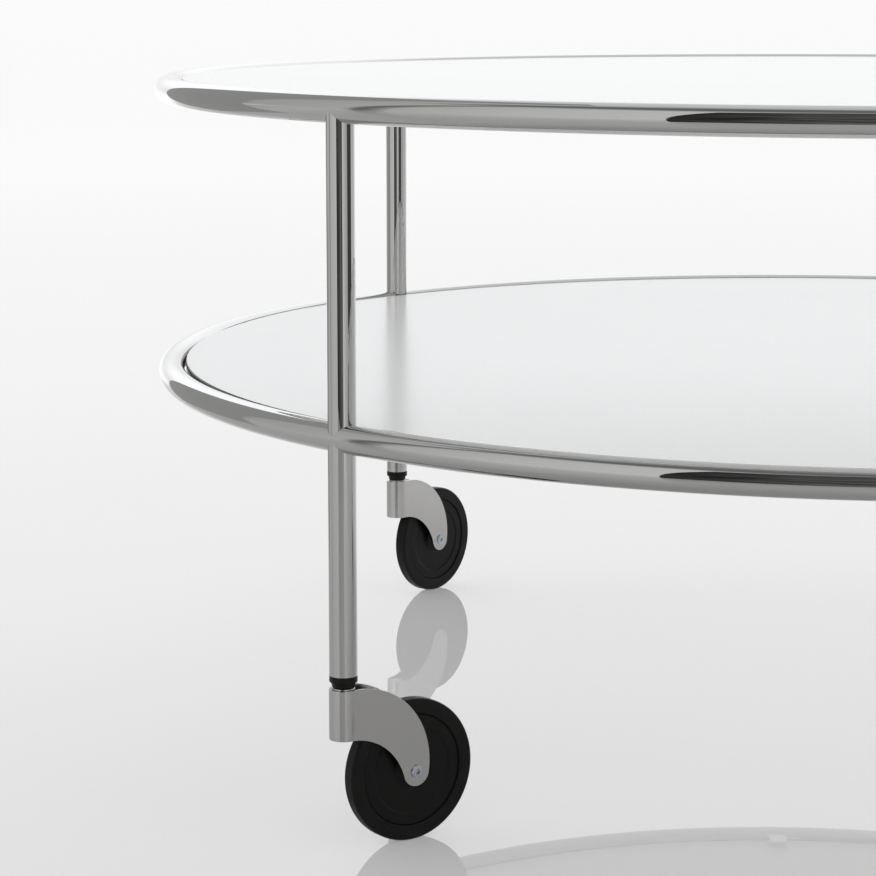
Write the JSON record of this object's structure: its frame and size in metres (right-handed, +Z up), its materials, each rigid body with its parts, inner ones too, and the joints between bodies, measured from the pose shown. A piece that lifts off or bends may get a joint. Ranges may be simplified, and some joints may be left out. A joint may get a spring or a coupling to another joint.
{
  "type": "round trolley table",
  "caption": "Low round side table on swivel casters, with an upper and a lower white shelf set in chromed tube rings that upright tubes join.",
  "frame": {"origin": "on the floor, under the middle of the rings", "axes": "+Z up; -Y towards the viewer of the picture, +X to the viewer's right"},
  "size_m": [0.8799, 0.88, 0.411],
  "materials": {
    "tube_chrome": "polished",
    "tab_chrome": "polished",
    "shelf_laminate": "satin",
    "insert_plastic": "satin",
    "bush_plastic": "matte",
    "core_plastic": "satin",
    "tyre_rubber": "matte",
    "fork_nickel": "satin",
    "washer_steel": "polished",
    "stem_steel": "satin",
    "screw_steel": "satin"
  },
  "bodies": {
    "frame": {"top_ring": "tube_chrome", "top_shelf": "shelf_laminate", "top_shelf_tabs": "tab_chrome", "top_shelf_screws": "screw_steel", "lower_ring": "tube_chrome", "lower_shelf": "shelf_laminate", "lower_shelf_tabs": "tab_chrome", "lower_shelf_screws": "screw_steel", "front_left_upper_leg": "tube_chrome", "front_left_lower_leg": "tube_chrome", "front_left_insert": "insert_plastic", "front_left_stem": "stem_steel", "front_right_upper_leg": "tube_chrome", "front_right_lower_leg": "tube_chrome", "front_right_insert": "insert_plastic", "front_right_stem": "stem_steel", "rear_right_upper_leg": "tube_chrome", "rear_right_lower_leg": "tube_chrome", "rear_right_insert": "insert_plastic", "rear_right_stem": "stem_steel", "rear_left_upper_leg": "tube_chrome", "rear_left_lower_leg": "tube_chrome", "rear_left_insert": "insert_plastic", "rear_left_stem": "stem_steel"},
    "front_left_caster": {"front_left_fork": "fork_nickel", "front_left_bush": "bush_plastic", "front_left_washer": "washer_steel", "front_left_axle_sleeve": "stem_steel", "front_left_axle_screw": "screw_steel", "front_left_axle_nut": "screw_steel"},
    "front_left_wheel": {"front_left_wheel_core": "core_plastic", "front_left_tyre": "tyre_rubber"},
    "front_right_caster": {"front_right_fork": "fork_nickel", "front_right_bush": "bush_plastic", "front_right_washer": "washer_steel", "front_right_axle_sleeve": "stem_steel", "front_right_axle_screw": "screw_steel", "front_right_axle_nut": "screw_steel"},
    "front_right_wheel": {"front_right_wheel_core": "core_plastic", "front_right_tyre": "tyre_rubber"},
    "rear_right_caster": {"rear_right_fork": "fork_nickel", "rear_right_bush": "bush_plastic", "rear_right_washer": "washer_steel", "rear_right_axle_sleeve": "stem_steel", "rear_right_axle_screw": "screw_steel", "rear_right_axle_nut": "screw_steel"},
    "rear_right_wheel": {"rear_right_wheel_core": "core_plastic", "rear_right_tyre": "tyre_rubber"},
    "rear_left_caster": {"rear_left_fork": "fork_nickel", "rear_left_bush": "bush_plastic", "rear_left_washer": "washer_steel", "rear_left_axle_sleeve": "stem_steel", "rear_left_axle_screw": "screw_steel", "rear_left_axle_nut": "screw_steel"},
    "rear_left_wheel": {"rear_left_wheel_core": "core_plastic", "rear_left_tyre": "tyre_rubber"}
  },
  "joints": [
    {"name": "front_left_swivel", "type": "hinge", "parent": "frame", "child": "front_left_caster", "pos_m": [-0.30547, -0.30547, 0.092], "axis": [0, 0, 1], "continuous": true},
    {"name": "front_left_roll", "type": "hinge", "parent": "front_left_caster", "child": "front_left_wheel", "pos_m": [-0.27157, -0.27983, 0.04], "axis": [-0.6032, 0.7976, 0], "continuous": true},
    {"name": "front_right_swivel", "type": "hinge", "parent": "frame", "child": "front_right_caster", "pos_m": [0.30547, -0.30547, 0.092], "axis": [0, 0, 1], "continuous": true},
    {"name": "front_right_roll", "type": "hinge", "parent": "front_right_caster", "child": "front_right_wheel", "pos_m": [0.33755, -0.27759, 0.04], "axis": [-0.6561, 0.7547, 0], "continuous": true},
    {"name": "rear_right_swivel", "type": "hinge", "parent": "frame", "child": "rear_right_caster", "pos_m": [0.30547, 0.30547, 0.092], "axis": [0, 0, 1], "continuous": true},
    {"name": "rear_right_roll", "type": "hinge", "parent": "rear_right_caster", "child": "rear_right_wheel", "pos_m": [0.33391, 0.33705, 0.04], "axis": [-0.7431, 0.6691, 0], "continuous": true},
    {"name": "rear_left_swivel", "type": "hinge", "parent": "frame", "child": "rear_left_caster", "pos_m": [-0.30547, 0.30547, 0.092], "axis": [0, 0, 1], "continuous": true},
    {"name": "rear_left_roll", "type": "hinge", "parent": "rear_left_caster", "child": "rear_left_wheel", "pos_m": [-0.27972, 0.33928, 0.04], "axis": [-0.7955, 0.606, 0], "continuous": true}
  ]
}
